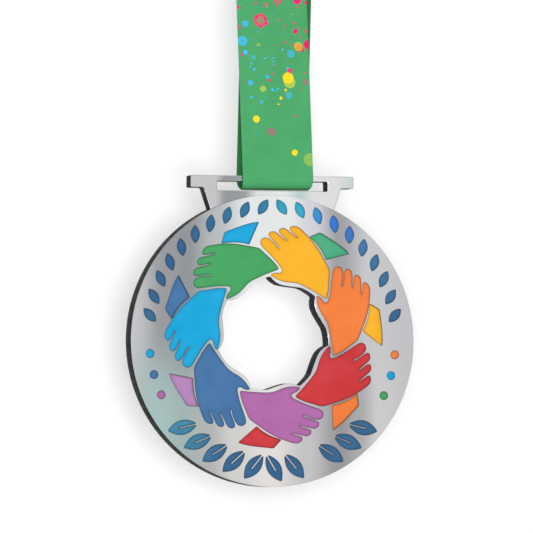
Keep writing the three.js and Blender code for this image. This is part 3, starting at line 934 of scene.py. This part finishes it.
def cast_medal(sizes):
    """The disc and the hanger as two shells of one casting."""
    shell = Shell()
    add_disc(shell, sizes.edge_rounding / MM, FRONT + sizes.cell_depth / MM)
    add_hanger(shell, sizes.hanger_rounding / MM)
    # The silver finishes below carry painted reflection bands in their colour.
    finishes = [
        silver_material("polished_face", 0.13, 0.05, LOWER_REFLECTION_TONES, UPPER_REFLECTION_TONES),
        silver_material("polished_edge", 0.17, 0.05, LOWER_REFLECTION_TONES, UPPER_REFLECTION_TONES),
        # Painted shade: the side walls are near black in their colour.
        shaded_wall_material("lacquered_wall", (26, 26, 27)),
        # Painted shade: darker silver in the cell recesses.
        silver_material("cell_wall", 0.4, 0.2, RECESS_SHADE_TONES),
        silver_material("sandblasted_back", 0.55, 1.0, BACK_TONES),
        silver_material("polished_hanger", 0.14, 0.05, HANGER_REFLECTION_TONES),
        # Painted shade: a dark line on each cell's lip.
        silver_material("cell_lip", 0.3, 0.05, LIP_SHADE_TONES),
    ]
    piece = shell.piece("cast_medal", finishes)
    hard_edges(piece, 50)
    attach(piece, "medal")
    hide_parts("medal_casting")


def enamel_fill(node, outline, material, sizes):
    """One fill of enamel: its surface is sunk at the metal and rises towards the middle as
    dome * (1 - exp(-distance / reach)), with distance measured from the outline."""
    step = sizes.enamel_grid / MM
    low, high = outline.min(axis=0), outline.max(axis=0)
    xs, zs = (np.arange(a + step / 2, b, step) for a, b in zip(low, high))
    inner = np.stack(np.meshgrid(xs, zs), -1).reshape(-1, 2)
    even = np.round((inner[:, 1] - low[1]) / step) % 2 == 0
    inner[:, 0] += np.where(even, step / 4, -step / 4)
    inner = inner[inside(inner, [outline])]
    inner = inner[distance(inner, outline) > step * 0.45]
    border = offset(outline, -FILL_GAP)
    points, triangles = filled([border], inner)
    away = distance(points, outline)
    sink = sizes.sleeve_sink if node.startswith("sleeve") else sizes.enamel_sink
    sunk = FRONT + sink / MM
    rise = sizes.enamel_dome / MM * (1 - np.exp(-away / DOME_REACH))
    shell = Shell()
    shell.add(level(points, sunk - rise * (away > 2 * FILL_GAP)), triangles)
    base = FRONT + sizes.cell_depth / MM - FILL_FLOOR
    shell.edge(border, [(0, sunk), (0, base)])
    shell.cap([border], base)
    piece = shell.piece(node.replace("_enamel", "_fill"), [material])
    co = np.empty(len(piece.data.vertices) * 3)
    piece.data.vertices.foreach_get("co", co)
    flat = (co.reshape(-1, 3) - (0, 0, DISC_Z))[:, (0, 2)] / MM
    # The rim attribute holds painted shade: 1 at the cell's edge, fading inwards.
    near = np.exp(-distance(flat, outline) / RIM_SHADE_REACH).astype(np.float32)
    piece.data.attributes.new("rim", "FLOAT", "POINT").data.foreach_set("value", near)
    hard_edges(piece, 60)
    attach(piece, "medal")
    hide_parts(node)
    return piece


def distance(points, outline):
    """Each point's distance to the nearest edge of an outline."""
    start, end = outline, np.roll(outline, -1, axis=0)
    along = end - start
    length = np.maximum(np.sum(along**2, axis=1), 1e-12)
    least = []
    for part in np.array_split(points, max(1, len(points) // BATCH)):
        gap = part[:, None, :] - start
        share = np.clip(np.sum(gap * along, axis=2) / length, 0, 1)
        least.append(np.min(np.linalg.norm(gap - share[..., None] * along, axis=2), axis=1))
    return np.concatenate(least)


def enamel_group(prefixes, sizes, colours):
    """Fills every cell whose node name starts with one of the prefixes."""
    for node, (outline, enamel) in cell_outlines().items():
        if node.startswith(prefixes):
            own = node.startswith("sleeve") and hasattr(colours, "sleeve_" + enamel)
            shade = "sleeve_" + enamel if own else enamel
            material = bpy.data.materials.get("fill_" + shade)
            if material is None and enamel == "leaf":
                material = leaf_material()
            elif material is None:
                material = enamel_material(shade, display(getattr(colours, shade)))
            piece = enamel_fill(node, outline, material, sizes)


def display(colour):
    """A linear colour as 0 to 255 display values."""
    c = np.array(colour[:3])
    return tuple(255 * np.where(c <= 0.0031308, c * 12.92, 1.055 * c ** (1 / 2.4) - 0.055))


def arc(centre, radius, start, end, step=0.12):
    """Points on an arc in depth and height, from one angle to another in degrees."""
    count = max(6, int(abs(end - start) / 57.3 * radius / step))
    turn = np.radians(np.linspace(start, end, count))
    return np.column_stack((np.cos(turn), np.sin(turn))) * radius + centre


def straight(start, end, step=0.9):
    count = max(2, int(np.hypot(*np.subtract(end, start)) / step))
    return np.linspace(start, end, count)


def ribbon_path():
    """The ribbon's middle line in millimetres as (x, depth, height), from the lapped outer end down
    the back, round the bar, up the front and to and fro through the folded hank."""
    outer, top, bottom, lap_foot, lifted = HANK_OUTER, HANK_TOP, HANK_BOTTOM, LAP_Z, LAP_DEPTH
    strand_top, bar_z = STRAP_HIGH.z / MM, BAR.z / MM
    random = np.random.default_rng(7)
    middles = HANK_MIDDLE + random.uniform(-0.4, 0.4, HANK_RUNS + 1)
    drop = random.uniform(0.0, 0.7, HANK_RUNS)
    line, lean = [], []

    def carry(points, x0, x1):
        line.append(points)
        lean.append(np.linspace(x0, x1, len(points)))

    last_x = middles[HANK_RUNS]
    carry(straight((lifted, lap_foot + LAP_LENGTH), (lifted, lap_foot + 1.0)), last_x, last_x)
    ease = np.linspace(0, 1, 12)[1:]
    step_in = lifted + (outer - lifted) * (3 * ease**2 - 2 * ease**3)
    carry(np.column_stack((step_in, lap_foot + 1.0 - 4.0 * ease)), last_x, last_x)
    carry(straight((outer, lap_foot - 3.4), (outer, strand_top)), last_x, BACK_X[1])
    carry(straight((outer, strand_top - 0.4), (LOOP_RADIUS, bar_z + 0.1)), BACK_X[1], BACK_X[0])
    carry(arc((0, bar_z), LOOP_RADIUS, 0, -180), BACK_X[0], FRONT_X[0])
    carry(straight((-LOOP_RADIUS, bar_z + 0.1), (-outer, strand_top - 0.4)), FRONT_X[0], FRONT_X[1])
    carry(straight((-outer, strand_top), (-outer, top - drop[0])), FRONT_X[1], middles[0])
    for run in range(HANK_RUNS - 1):
        depth = -outer + (run + 0.5) * HANK_PITCH
        here, there = middles[run], middles[run + 1]
        up = run % 2 == 0
        turn = (top - drop[run]) if up else bottom + drop[run]
        carry(arc((depth, turn), HANK_PITCH / 2, 180, 0 if up else 360)[1:], here, there)
        last = run == HANK_RUNS - 2
        goal = lap_foot - 0.5 if last else (bottom + drop[run + 1] if up else top - drop[run + 1])
        if last:
            there = last_x
        ends = (depth + HANK_PITCH / 2, turn), (depth + HANK_PITCH / 2, goal)
        carry(straight(*ends)[1:], there, there)
    return np.column_stack((np.concatenate(lean), np.vstack(line)))


def running_length(path):
    return np.concatenate(([0], np.cumsum(np.linalg.norm(np.diff(path, axis=0), axis=1))))


def ribbon_section():
    """The strip's section as (across, through): two flats with a round selvedge at each side."""
    half, thick = RIBBON_WIDTH / 2, RIBBON_THICKNESS / 2
    across = np.linspace(-half + thick, half - thick, FLAT_POINTS)
    cheek = np.radians(np.linspace(90, -90, CHEEK_POINTS + 2)[1:-1])
    right = np.column_stack((half - thick + thick * np.cos(cheek), thick * np.sin(cheek)))
    upper = np.column_stack((across, np.full(FLAT_POINTS, thick)))
    return np.vstack((upper, right, upper[::-1] * (1, -1), -right))


def folded_ribbon(colours):
    """One strip of ribbon: a flat section with round selvedges carried along the middle line. Each
    row is middle + across * X + thickness * normal, with the normal at right angles to the line in
    depth and height. It draws in a little round the bar and ripples by a fraction of a
    millimetre."""
    path, section = ribbon_path(), ribbon_section()
    along, half = running_length(path), RIBBON_WIDTH / 2
    ahead = np.gradient(path[:, 1:], along, axis=0)
    ahead /= np.linalg.norm(ahead, axis=1)[:, None]
    normal = np.column_stack((-ahead[:, 1], ahead[:, 0]))
    lowest = along[np.argmin(path[:, 2])]
    bar_along = float(lowest + LOOP_RADIUS * math.pi / 2)
    draw_in = 1 - 0.06 * np.exp(-(((along - lowest) / 2.2) ** 2))
    ripple = 0.05 * np.sin(along / 5.3) * np.sin(along / 17.0)
    x = path[:, :1] + section[:, 0] * draw_in[:, None]
    out = section[:, 1] + ripple[:, None] * np.cos(section[:, 0] / half * 1.4)
    rows = np.stack((x, path[:, 1:2] + out * normal[:, :1], path[:, 2:] + out * normal[:, 1:]), -1)
    printed = np.zeros((len(rows) - 1, len(section)), int)
    first = FLAT_POINTS + CHEEK_POINTS // 2
    printed[:, first : first + FLAT_POINTS + CHEEK_POINTS - 1] = 1
    finishes = [printed_ribbon_material(display(colours.ribbon), bar_along)]
    finishes += [plain_ribbon_material(display(colours.ribbon_inside))]
    faces = tube(hoops(*rows.shape[:2]))
    mesh = new_mesh("folded_ribbon", rows.reshape(-1, 3) * MM, faces, finishes)
    mesh.polygons.foreach_set("material_index", [*printed.ravel().tolist(), 1, 1])
    corner = np.empty(len(mesh.loops), int)
    mesh.loops.foreach_get("vertex_index", corner)
    strip = np.stack(np.broadcast_arrays(section[:, 0] + half, along[:, None]), -1)
    layer = mesh.uv_layers.new(name="strip")
    layer.data.foreach_set("uv", strip.reshape(-1, 2)[corner].ravel())
    mesh.shade_smooth()
    piece = linked(mesh)
    hard_edges(piece, 60)
    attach(piece, "ribbon")
    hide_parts("ribbon_strap", "ribbon_hank")
    return piece, float(along[-1]) * MM


def elastic_band(colours):
    """A ribbed elastic band: a rounded section with small ribs carried round the hank's own rounded
    rectangle."""
    x0, z0 = ((low + high) / 2 / MM for low, high in zip(BAND_LOW.xz, BAND_HIGH.xz))
    half, height = BAND_THICKNESS / 2, (BAND_HIGH.z - BAND_LOW.z) / MM
    wide = (HANK_HIGH.x - HANK_LOW.x) / 2 / MM - BAND_SQUEEZE + half - BAND_CORNER
    deep = HANK_HIGH.y / MM + BAND_CLEARANCE + half - BAND_CORNER
    turn = np.radians(np.linspace(0, 90, 9))
    quarter = np.column_stack((np.cos(turn), np.sin(turn))) * BAND_CORNER
    flat = np.linspace(-1, 1, 60)[1:-1]
    sides = []
    for k in range(4):
        run, rise = (wide, deep) if k % 2 == 0 else (deep, wide)
        edge = np.column_stack((-flat * run, np.full(len(flat), rise + BAND_CORNER)))
        sides.append(turned(np.vstack((quarter + (run, rise), edge)), k * math.pi / 2))
    loop = np.vstack(sides)
    ahead = np.roll(loop, -1, axis=0) - np.roll(loop, 1, axis=0)
    ahead /= np.linalg.norm(ahead, axis=1)[:, None]
    normal = np.column_stack((ahead[:, 1], -ahead[:, 0]))
    rise = np.linspace(-height / 2, height / 2, 65)
    ribs = BAND_RIB * np.cos(rise * 2 * math.pi / BAND_RIB_PITCH)
    outer = (half - BAND_RIB + ribs) * (1 - (np.abs(rise) / (height / 2)) ** 14)
    section = np.vstack((np.column_stack((outer, rise)), np.column_stack((-outer, rise))[-2:0:-1]))
    x = x0 + loop[:, :1] + normal[:, :1] * section[:, 0]
    y = loop[:, 1:] + normal[:, 1:] * section[:, 0]
    rows = np.stack((x, y, np.broadcast_to(z0 + section[:, 1], x.shape)), -1)
    index = hoops(*x.shape)
    faces = quads(np.vstack((index, index[:1]))).tolist()
    yarn = thread_material("elastic_yarn", display(colours.band), 2600.0)
    mesh = new_mesh("elastic_band", rows.reshape(-1, 3) * MM, faces, [yarn])
    mesh.shade_smooth()
    piece = linked(mesh)
    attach(piece, "ribbon")
    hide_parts("hank_band")
    return piece


def seam_stitches(colours):
    """Rows of straight stitches across the lapped ends: each stitch is a bent tube that rises as
    height * sqrt(1 - t * t) and dips into the cloth at both ends."""
    t = np.linspace(-1, 1, 7)[:, None]
    ring = np.linspace(0, 2 * math.pi, 6, endpoint=False)
    surface = LAP_DEPTH + RIBBON_THICKNESS / 2
    lift = surface - STITCH_SINK + STITCH_RISE * np.sqrt(1 - t**2)
    radius = STITCH_RADIUS * np.sqrt(np.maximum(1 - t**8, 0.02))
    y, z = lift + radius * np.cos(ring), LAP_Z + radius * np.sin(ring)
    points, faces = [], []
    for rise in STITCH_ROWS:
        for place in np.arange(-9.6, 9.7, STITCH_PITCH):
            x = np.broadcast_to(HANK_MIDDLE + place + t * STITCH_HALF, y.shape)
            faces += tube(hoops(*y.shape, first=len(points) * y.size))
            points.append(np.stack((x, y, z + rise), -1).reshape(-1, 3))
    thread = thread_material("sewing_thread", display(colours.thread), 9000.0)
    mesh = new_mesh("seam_stitches", np.vstack(points) * MM, faces, [thread])
    mesh.shade_smooth()
    piece = linked(mesh)
    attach(piece, "ribbon")
    return piece


# ---- Stage ----


def aimed(data, aim, turn, tilt, distance):
    """A camera or lamp that looks at the aim from a distance, along the heading
    (-sin turn * cos tilt, cos turn * cos tilt, -sin tilt)."""
    flat = math.cos(tilt)
    ahead = Vector((-math.sin(turn) * flat, math.cos(turn) * flat, -math.sin(tilt)))
    thing = placed(data)
    thing.location = aim - ahead * distance
    thing.rotation_euler = ahead.to_track_quat("-Z", "Y").to_euler()
    return thing


def set_stage(stage):
    """Camera, wall, floor, key light and world."""
    scene = bpy.context.scene
    scene.view_settings.view_transform = "Standard"
    aim = Vector((stage.aim_across, 0, DISC_Z + stage.aim_rise))
    lens = bpy.data.cameras.new("camera")
    lens.lens = SENSOR * stage.camera_distance / stage.frame_height
    lens.clip_start, lens.clip_end = CLIPPING
    turn, tilt = stage.camera_turn, stage.camera_tilt
    scene.camera = aimed(lens, aim, turn, tilt, stage.camera_distance)

    wall = plane("backdrop", (0, stage.wall_distance, aim.z), math.pi / 2, wall_material())
    paint = grey_paint("floor_paint", 25.0, 0.8, 0.83, 0.8, 0.1)[0]
    floor = plane("floor", (0, 0, CAST_LOW.z - stage.floor_drop), 0, paint)

    key = bpy.data.lights.new("key", "AREA")
    key.shape, key.size, key.energy = "DISK", stage.key_size, stage.key_power
    aimed(key, aim, stage.key_turn, stage.key_tilt, KEY_DISTANCE)
    studio_world(stage.world_glow)


def studio_world(brightness):
    """White light from all round that falls off to the sides, above and below, and plain white
    where the camera sees it."""
    world = bpy.data.worlds.new("studio")
    bpy.context.scene.world = world
    world.use_nodes = True
    nodes = Nodes(world.node_tree)
    split = nodes.axes(nodes.new("ShaderNodeTexCoord").outputs["Generated"])
    side = nodes.math("ABSOLUTE", split["X"])
    across = nodes.span(side, 0.92, 0.42, 0.32, 1.0, smooth=True)
    below = nodes.span(split["Z"], -0.85, -0.35, 0.3, 1.0, smooth=True)
    above = nodes.span(split["Z"], 0.35, 0.9, 1.0, 0.75, smooth=True)
    glow = nodes.math("MULTIPLY", across, nodes.math("MULTIPLY", below, above))
    glow = nodes.math("MULTIPLY", glow, brightness)
    seen = nodes.new("ShaderNodeLightPath").outputs["Is Camera Ray"]
    inputs = {0: seen, 2: glow, 3: 1.0}
    strength = nodes.new("ShaderNodeMix", inputs, data_type="FLOAT").outputs[0]
    background = world.node_tree.nodes["Background"].inputs
    nodes.put((1, 1, 1, 1), background["Color"])
    nodes.put(strength, background["Strength"])


def plane(name, place, tilt, material):
    """A square of the stage, tilted about X."""
    h = SCREEN_WIDTH / 2
    corners = np.array([(-h, -h, 0), (h, -h, 0), (h, h, 0), (-h, h, 0)])
    piece = placed(new_mesh(name, corners, [(0, 1, 2, 3)], [material]))
    piece.location = place
    piece.rotation_euler.x = tilt
    return piece


def grey_paint(name, scale, low, high, roughness, specular):
    """A grey that drifts a little between two shades: returns its material and nodes."""
    looks = {"Roughness": roughness, "Specular_IOR_Level": specular}
    material, nodes = new_material(name, **looks)
    grey = nodes.span(nodes.noise(nodes.place(), scale, 3.0), 0.3, 0.7, low, high)
    tone = nodes.new("ShaderNodeCombineColor", {0: grey, 1: grey, 2: grey}).outputs[0]
    nodes.surface(Base_Color=tone)
    return material, nodes


def wall_material():
    """White paper that shows only from the front and casts no shadow."""
    material, nodes = grey_paint("backdrop_paper", 60.0, 0.93, 0.95, 0.9, 0.0)
    behind = nodes.new("ShaderNodeNewGeometry").outputs["Backfacing"]
    shadow = nodes.new("ShaderNodeLightPath").outputs["Is Shadow Ray"]
    clear = nodes.math("MAXIMUM", behind, shadow)
    through = nodes.new("ShaderNodeBsdfTransparent").outputs[0]
    paper = material.node_tree.nodes["Principled BSDF"].outputs[0]
    both = nodes.new("ShaderNodeMixShader", {0: clear, 1: paper, 2: through}).outputs[0]
    nodes.put(both, material.node_tree.nodes["Material Output"].inputs["Surface"])
    return material


# ---- Settings ----


def length_setting(name, description, default):
    kind = {"default": default, "precision": 5, "subtype": "DISTANCE", "unit": "LENGTH"}
    return bpy.props.FloatProperty(name=name, description=description, **kind)


def angle_setting(name, description, degrees):
    kind = {"default": math.radians(degrees), "subtype": "ANGLE", "unit": "ROTATION"}
    return bpy.props.FloatProperty(name=name, description=description, **kind)


def colour_setting(what, colour):
    kind = {"default": linear(colour)[:3], "subtype": "COLOR", "size": 3, "min": 0, "max": 1}
    description = "Colour of the " + what
    return bpy.props.FloatVectorProperty(name=what.capitalize(), description=description, **kind)


def number_setting(name, description, default):
    return bpy.props.FloatProperty(name=name, description=description, default=default)


class MedalSizes(bpy.types.PropertyGroup):
    """Sizes of the casting's and the enamel's finish."""

    edge_rounding: length_setting("Edge rounding", "Rounding of its edges and cells", 0.00012)
    hanger_rounding: length_setting("Hanger rounding", "Rounding of the hanger's edges", 0.00016)
    cell_depth: length_setting("Cell depth", "Depth of the enamel cells", 0.0007)
    enamel_sink: length_setting("Enamel sink", "Depth of the enamel at the metal", 0.00016)
    sleeve_sink: length_setting("Sleeve sink", "Depth of the sleeves' enamel", 0.0004)
    enamel_dome: length_setting("Enamel dome", "Rise of the enamel inside a cell", 0.00006)
    enamel_grid: length_setting("Enamel grid", "Spacing of the points on the enamel", 0.0004)


class MedalColours(bpy.types.PropertyGroup):
    """Colours of the enamel and the cloth."""

    yellow: colour_setting("yellow hand", (228, 163, 26))
    orange: colour_setting("orange hand", (222, 115, 50))
    red: colour_setting("red hand", (186, 46, 50))
    purple: colour_setting("purple hand", (161, 94, 153))
    blue: colour_setting("blue hand", (58, 103, 150))
    cyan: colour_setting("cyan hand", (0, 151, 200))
    green: colour_setting("green hand", (58, 148, 86))
    sleeve_green: colour_setting("green sleeve", (66, 158, 116))
    sleeve_purple: colour_setting("purple sleeve", (164, 122, 168))
    ribbon: colour_setting("ribbon's printed side", (68, 156, 97))
    ribbon_inside: colour_setting("ribbon's plain side", (42, 118, 68))
    thread: colour_setting("seam's thread", (150, 200, 160))
    band: colour_setting("elastic band", (38, 92, 60))


class StageSettings(bpy.types.PropertyGroup):
    """Camera, backdrop and light."""

    camera_turn: angle_setting("Camera turn", "Turn of the camera round the medal", -14.5)
    camera_tilt: angle_setting("Camera tilt", "Height of the camera as an angle", -1.9)
    camera_distance: length_setting("Camera distance", "Distance from the camera to its aim", 2.2)
    frame_height: length_setting("Frame height", "Height taken in at the camera's aim", 0.1628)
    aim_across: length_setting("Aim across", "Place of the camera's aim across the medal", -0.00113)
    aim_rise: length_setting("Aim rise", "Height of the aim over the disc's middle", 0.0228)
    wall_distance: length_setting("Wall distance", "Distance from the medal to the wall", 0.115)
    floor_drop: length_setting("Floor drop", "Distance from the medal down to the floor", 0.18)
    key_turn: angle_setting("Key turn", "Turn of the key light round the medal", -13.0)
    key_tilt: angle_setting("Key tilt", "Height of the key light as an angle", -1.9)
    key_size: length_setting("Key size", "Width of the key light", 0.2)
    key_power: number_setting("Key power", "Power of the key light", 11.5)
    world_glow: number_setting("Glow", "Brightness of the studio", 1.0)


# ---- Operators ----


class Building:
    """What the operators share: each builds its own pieces from the scene's settings."""

    def execute(self, context):
        self.build(context.scene)
        return {"FINISHED"}


class MEDAL_OT_groups(Building, bpy.types.Operator):
    """Build the grain, weave and paint effects that several finishes share"""

    bl_idname = "medal.groups"
    bl_label = "Shared effects"

    def build(self, scene):
        fine_grain_group()
        weave_group()
        paint_drop_group()


class MEDAL_OT_casting(Building, bpy.types.Operator):
    """Build the cast disc and its hanger"""

    bl_idname = "medal.casting"
    bl_label = "Casting"

    def build(self, scene):
        cast_medal(scene.medal_sizes)


class MEDAL_OT_hands(Building, bpy.types.Operator):
    """Fill the hands and sleeves with enamel"""

    bl_idname = "medal.hands"
    bl_label = "Hands and sleeves"

    def build(self, scene):
        prefixes = ("hand_enamel", "sleeve_enamel")
        enamel_group(prefixes, scene.medal_sizes, scene.medal_colours)


class MEDAL_OT_border(Building, bpy.types.Operator):
    """Fill the leaves and dots of the border with enamel"""

    bl_idname = "medal.border"
    bl_label = "Leaves and dots"

    def build(self, scene):
        prefixes = ("upper_leaf", "lower_leaf", "dot_enamel")
        enamel_group(prefixes, scene.medal_sizes, scene.medal_colours)


class MEDAL_OT_ribbon(Building, bpy.types.Operator):
    """Build the folded ribbon, its sewn lap and the elastic band"""

    bl_idname = "medal.ribbon"
    bl_label = "Ribbon, stitches and band"

    def build(self, scene):
        colours = scene.medal_colours
        strip, length = folded_ribbon(colours)
        stitches = seam_stitches(colours)
        band = elastic_band(colours)


class MEDAL_OT_stage(Building, bpy.types.Operator):
    """Set the camera, backdrop, floor and light"""

    bl_idname = "medal.stage"
    bl_label = "Stage"

    def build(self, scene):
        set_stage(scene.medal_stage)


OPERATORS = (
    MEDAL_OT_stage,
    MEDAL_OT_groups,
    MEDAL_OT_casting,
    MEDAL_OT_hands,
    MEDAL_OT_border,
    MEDAL_OT_ribbon,
)


class MEDAL_PT_sidebar(bpy.types.Panel):
    """Lists the medal's pieces and its settings"""

    bl_label = "Finisher Medal"
    bl_idname = "MEDAL_PT_sidebar"
    bl_space_type = "VIEW_3D"
    bl_region_type = "UI"
    bl_category = "Medal"

    def draw(self, context):
        for operator in OPERATORS:
            self.layout.operator(operator.bl_idname)
        for name in SETTINGS:
            box, group = self.layout.box(), getattr(context.scene, name)
            for key in group.bl_rna.properties.keys():
                if key not in ("rna_type", "name"):
                    box.prop(group, key)


SETTINGS = {"medal_sizes": MedalSizes, "medal_colours": MedalColours, "medal_stage": StageSettings}
CLASSES = (*SETTINGS.values(), *OPERATORS, MEDAL_PT_sidebar)


def register():
    for kind in CLASSES:
        bpy.utils.register_class(kind)
    for key, kind in SETTINGS.items():
        setattr(bpy.types.Scene, key, bpy.props.PointerProperty(type=kind))


def unregister():
    for key in SETTINGS:
        delattr(bpy.types.Scene, key)
    for kind in reversed(CLASSES):
        bpy.utils.unregister_class(kind)


def main():
    register()
    for operator in OPERATORS:
        category, name = operator.bl_idname.split(".")
        getattr(getattr(bpy.ops, category), name)()


if __name__ == "__main__":
    main()
